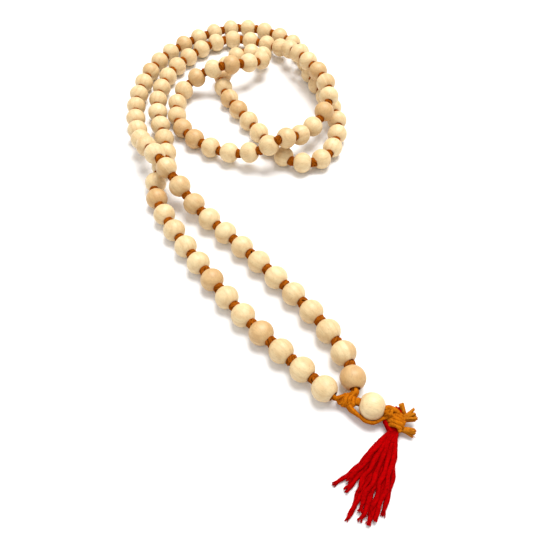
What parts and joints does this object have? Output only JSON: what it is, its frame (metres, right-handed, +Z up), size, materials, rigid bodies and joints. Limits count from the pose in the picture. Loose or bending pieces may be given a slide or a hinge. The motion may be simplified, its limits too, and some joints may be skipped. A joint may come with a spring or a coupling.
{
  "type": "mala prayer beads",
  "caption": "Strand of small turned wooden prayer beads on a knotted saffron cotton cord, ending in a guru bead, a wound collar and a red yarn tassel.",
  "frame": {"origin": "on the plane the beads lie on, under the middle of the outer box", "axes": "+Z up from that plane, +Y along the laid-out strand from its tassel to the far end of its coil, +X to the right of the strand seen with the tassel nearest"},
  "size_m": [0.1012, 0.2306, 0.0169],
  "materials": {
    "turned_wood": "pale turned hardwood, smooth and unvarnished",
    "saffron_cotton": "twisted saffron cotton cord, matt",
    "red_yarn": "soft red yarn, matt"
  },
  "bodies": {
    "strand": {"join_knot": "saffron_cotton", "right_cord": "saffron_cotton", "left_cord": "saffron_cotton", "bead_run_1": "turned_wood", "bead_run_2": "turned_wood", "bead_run_3": "turned_wood", "bead_run_4": "turned_wood", "bead_run_5": "turned_wood", "bead_run_6": "turned_wood", "bead_run_7": "turned_wood", "bead_run_8": "turned_wood", "guru_cord": "saffron_cotton", "bypass_cord": "saffron_cotton", "guru_knot": "saffron_cotton", "collar_whipping": "saffron_cotton", "tuft_top": "saffron_cotton", "tuft_upper": "saffron_cotton", "tuft_lower": "saffron_cotton", "tassel_head": "red_yarn"},
    "right_bead_01": {"right_bead_01": "turned_wood"},
    "right_bead_02": {"right_bead_02": "turned_wood"},
    "right_bead_03": {"right_bead_03": "turned_wood"},
    "right_bead_04": {"right_bead_04": "turned_wood"},
    "right_bead_05": {"right_bead_05": "turned_wood"},
    "right_bead_06": {"right_bead_06": "turned_wood"},
    "right_bead_07": {"right_bead_07": "turned_wood"},
    "right_bead_08": {"right_bead_08": "turned_wood"},
    "right_bead_09": {"right_bead_09": "turned_wood"},
    "right_bead_10": {"right_bead_10": "turned_wood"},
    "right_bead_11": {"right_bead_11": "turned_wood"},
    "right_bead_12": {"right_bead_12": "turned_wood"},
    "right_bead_13": {"right_bead_13": "turned_wood"},
    "right_bead_14": {"right_bead_14": "turned_wood"},
    "right_bead_15": {"right_bead_15": "turned_wood"},
    "right_bead_16": {"right_bead_16": "turned_wood"},
    "right_bead_17": {"right_bead_17": "turned_wood"},
    "left_bead_01": {"left_bead_01": "turned_wood"},
    "left_bead_02": {"left_bead_02": "turned_wood"},
    "left_bead_03": {"left_bead_03": "turned_wood"},
    "left_bead_04": {"left_bead_04": "turned_wood"},
    "left_bead_05": {"left_bead_05": "turned_wood"},
    "left_bead_06": {"left_bead_06": "turned_wood"},
    "left_bead_07": {"left_bead_07": "turned_wood"},
    "left_bead_08": {"left_bead_08": "turned_wood"},
    "left_bead_09": {"left_bead_09": "turned_wood"},
    "left_bead_10": {"left_bead_10": "turned_wood"},
    "left_bead_11": {"left_bead_11": "turned_wood"},
    "left_bead_12": {"left_bead_12": "turned_wood"},
    "left_bead_13": {"left_bead_13": "turned_wood"},
    "left_bead_14": {"left_bead_14": "turned_wood"},
    "left_bead_15": {"left_bead_15": "turned_wood"},
    "left_bead_16": {"left_bead_16": "turned_wood"},
    "left_bead_17": {"left_bead_17": "turned_wood"},
    "guru_bead": {"guru_bead": "turned_wood"},
    "tassel": {"tassel_neck": "red_yarn", "tassel_yarn_3": "red_yarn"},
    "tassel_yarn_1": {"tassel_yarn_1": "red_yarn"},
    "tassel_yarn_2": {"tassel_yarn_2": "red_yarn"},
    "tassel_yarn_4": {"tassel_yarn_4": "red_yarn"},
    "tassel_yarn_5": {"tassel_yarn_5": "red_yarn"}
  },
  "joints": [
    {"name": "right_bead_01_spin", "type": "hinge", "parent": "strand", "child": "right_bead_01", "pos_m": [0.0333, -0.07563, 0.004], "axis": [-0.0752, 0.9972, 0], "continuous": true},
    {"name": "right_bead_02_spin", "type": "hinge", "parent": "strand", "child": "right_bead_02", "pos_m": [0.03123, -0.06746, 0.004], "axis": [-0.406, 0.9139, 0], "continuous": true},
    {"name": "right_bead_03_spin", "type": "hinge", "parent": "strand", "child": "right_bead_03", "pos_m": [0.02723, -0.05987, 0.004], "axis": [-0.5245, 0.8514, 0], "continuous": true},
    {"name": "right_bead_04_spin", "type": "hinge", "parent": "strand", "child": "right_bead_04", "pos_m": [0.02238, -0.05279, 0.004], "axis": [-0.6044, 0.7967, 0], "continuous": true},
    {"name": "right_bead_05_spin", "type": "hinge", "parent": "strand", "child": "right_bead_05", "pos_m": [0.01702, -0.04605, 0.004], "axis": [-0.6402, 0.7682, 0], "continuous": true},
    {"name": "right_bead_06_spin", "type": "hinge", "parent": "strand", "child": "right_bead_06", "pos_m": [0.01145, -0.0395, 0.004], "axis": [-0.6558, 0.7549, 0], "continuous": true},
    {"name": "right_bead_07_spin", "type": "hinge", "parent": "strand", "child": "right_bead_07", "pos_m": [0.00579, -0.03302, 0.00402], "axis": [-0.6599, 0.7513, 0.0045], "continuous": true},
    {"name": "right_bead_08_spin", "type": "hinge", "parent": "strand", "child": "right_bead_08", "pos_m": [0.00002, -0.02664, 0.00405], "axis": [-0.6803, 0.7329, 0.0028], "continuous": true},
    {"name": "right_bead_09_spin", "type": "hinge", "parent": "strand", "child": "right_bead_09", "pos_m": [-0.00589, -0.02039, 0.00411], "axis": [-0.6945, 0.7194, 0.0122], "continuous": true},
    {"name": "right_bead_10_spin", "type": "hinge", "parent": "strand", "child": "right_bead_10", "pos_m": [-0.01184, -0.01419, 0.00447], "axis": [-0.6887, 0.7217, 0.0692], "continuous": true},
    {"name": "right_bead_11_spin", "type": "hinge", "parent": "strand", "child": "right_bead_11", "pos_m": [-0.0176, -0.00797, 0.00569], "axis": [-0.6518, 0.727, 0.216], "continuous": true},
    {"name": "right_bead_12_spin", "type": "hinge", "parent": "strand", "child": "right_bead_12", "pos_m": [-0.02295, -0.00191, 0.00844], "axis": [-0.5939, 0.6841, 0.4235], "continuous": true},
    {"name": "right_bead_13_spin", "type": "hinge", "parent": "strand", "child": "right_bead_13", "pos_m": [-0.02798, 0.00423, 0.01166], "axis": [-0.5793, 0.7462, 0.328], "continuous": true},
    {"name": "right_bead_14_spin", "type": "hinge", "parent": "strand", "child": "right_bead_14", "pos_m": [-0.03284, 0.0109, 0.01244], "axis": [-0.5581, 0.8166, -0.1476], "continuous": true},
    {"name": "right_bead_15_spin", "type": "hinge", "parent": "strand", "child": "right_bead_15", "pos_m": [-0.03723, 0.01779, 0.01014], "axis": [-0.4685, 0.794, -0.3874], "continuous": true},
    {"name": "right_bead_16_spin", "type": "hinge", "parent": "strand", "child": "right_bead_16", "pos_m": [-0.0408, 0.02501, 0.00726], "axis": [-0.3624, 0.8875, -0.2845], "continuous": true},
    {"name": "right_bead_17_spin", "type": "hinge", "parent": "strand", "child": "right_bead_17", "pos_m": [-0.0435, 0.03293, 0.00552], "axis": [-0.2675, 0.9559, -0.1215], "continuous": true},
    {"name": "left_bead_01_spin", "type": "hinge", "parent": "strand", "child": "left_bead_01", "pos_m": [0.02485, -0.07897, 0.004], "axis": [0.7021, -0.7121, 0], "continuous": true},
    {"name": "left_bead_02_spin", "type": "hinge", "parent": "strand", "child": "left_bead_02", "pos_m": [0.01877, -0.07288, 0.004], "axis": [0.7114, -0.7028, 0], "continuous": true},
    {"name": "left_bead_03_spin", "type": "hinge", "parent": "strand", "child": "left_bead_03", "pos_m": [0.01268, -0.06681, 0.004], "axis": [0.7043, -0.7099, 0], "continuous": true},
    {"name": "left_bead_04_spin", "type": "hinge", "parent": "strand", "child": "left_bead_04", "pos_m": [0.00672, -0.0606, 0.004], "axis": [0.6809, -0.7323, 0], "continuous": true},
    {"name": "left_bead_05_spin", "type": "hinge", "parent": "strand", "child": "left_bead_05", "pos_m": [0.00103, -0.05415, 0.004], "axis": [0.6419, -0.7668, 0], "continuous": true},
    {"name": "left_bead_06_spin", "type": "hinge", "parent": "strand", "child": "left_bead_06", "pos_m": [-0.00432, -0.04742, 0.004], "axis": [0.6014, -0.799, 0], "continuous": true},
    {"name": "left_bead_07_spin", "type": "hinge", "parent": "strand", "child": "left_bead_07", "pos_m": [-0.00944, -0.0405, 0.004], "axis": [0.5881, -0.8088, 0], "continuous": true},
    {"name": "left_bead_08_spin", "type": "hinge", "parent": "strand", "child": "left_bead_08", "pos_m": [-0.01443, -0.03349, 0.004], "axis": [0.5726, -0.8198, 0], "continuous": true},
    {"name": "left_bead_09_spin", "type": "hinge", "parent": "strand", "child": "left_bead_09", "pos_m": [-0.01927, -0.02638, 0.004], "axis": [0.5511, -0.8344, 0], "continuous": true},
    {"name": "left_bead_10_spin", "type": "hinge", "parent": "strand", "child": "left_bead_10", "pos_m": [-0.02387, -0.01911, 0.004], "axis": [0.5196, -0.8544, 0], "continuous": true},
    {"name": "left_bead_11_spin", "type": "hinge", "parent": "strand", "child": "left_bead_11", "pos_m": [-0.02812, -0.01164, 0.004], "axis": [0.4677, -0.8839, 0], "continuous": true},
    {"name": "left_bead_12_spin", "type": "hinge", "parent": "strand", "child": "left_bead_12", "pos_m": [-0.03167, -0.00382, 0.004], "axis": [0.3588, -0.9334, 0], "continuous": true},
    {"name": "left_bead_13_spin", "type": "hinge", "parent": "strand", "child": "left_bead_13", "pos_m": [-0.03309, 0.00441, 0.004], "axis": [-0.0309, -0.9995, 0], "continuous": true},
    {"name": "left_bead_14_spin", "type": "hinge", "parent": "strand", "child": "left_bead_14", "pos_m": [-0.03164, 0.0127, 0.004], "axis": [-0.307, -0.9517, 0], "continuous": true},
    {"name": "left_bead_15_spin", "type": "hinge", "parent": "strand", "child": "left_bead_15", "pos_m": [-0.03087, 0.02102, 0.004], "axis": [0.1264, -0.992, 0], "continuous": true},
    {"name": "left_bead_16_spin", "type": "hinge", "parent": "strand", "child": "left_bead_16", "pos_m": [-0.03259, 0.02941, 0.004], "axis": [0.2756, -0.9613, 0], "continuous": true},
    {"name": "left_bead_17_spin", "type": "hinge", "parent": "strand", "child": "left_bead_17", "pos_m": [-0.035, 0.03767, 0.004], "axis": [0.2835, -0.959, 0], "continuous": true},
    {"name": "guru_bead_spin", "type": "hinge", "parent": "strand", "child": "guru_bead", "pos_m": [0.03787, -0.08431, 0.004], "axis": [0.9404, -0.3401, 0], "continuous": true},
    {"name": "tassel_lift", "type": "hinge", "parent": "strand", "child": "tassel", "pos_m": [0.04345, -0.09074, 0.0032], "axis": [-0.8746, 0.4848, 0], "range_deg": [0, 60]},
    {"name": "tassel_yarn_1_fan", "type": "hinge", "parent": "tassel", "child": "tassel_yarn_1", "pos_m": [0.0383, -0.09508, 0.0013], "axis": [0, 0, -1], "range_deg": [0, 30]},
    {"name": "tassel_yarn_2_lift", "type": "hinge", "parent": "tassel", "child": "tassel_yarn_2", "pos_m": [0.03935, -0.09567, 0.0026], "axis": [-0.7772, 0.6293, 0], "range_deg": [0, 40]},
    {"name": "tassel_yarn_4_lift", "type": "hinge", "parent": "tassel", "child": "tassel_yarn_4", "pos_m": [0.04145, -0.09683, 0.0026], "axis": [-0.91, 0.4147, 0], "range_deg": [0, 40]},
    {"name": "tassel_yarn_5_fan", "type": "hinge", "parent": "tassel", "child": "tassel_yarn_5", "pos_m": [0.04249, -0.09741, 0.0013], "axis": [0, 0, 1], "range_deg": [0, 30]}
  ]
}
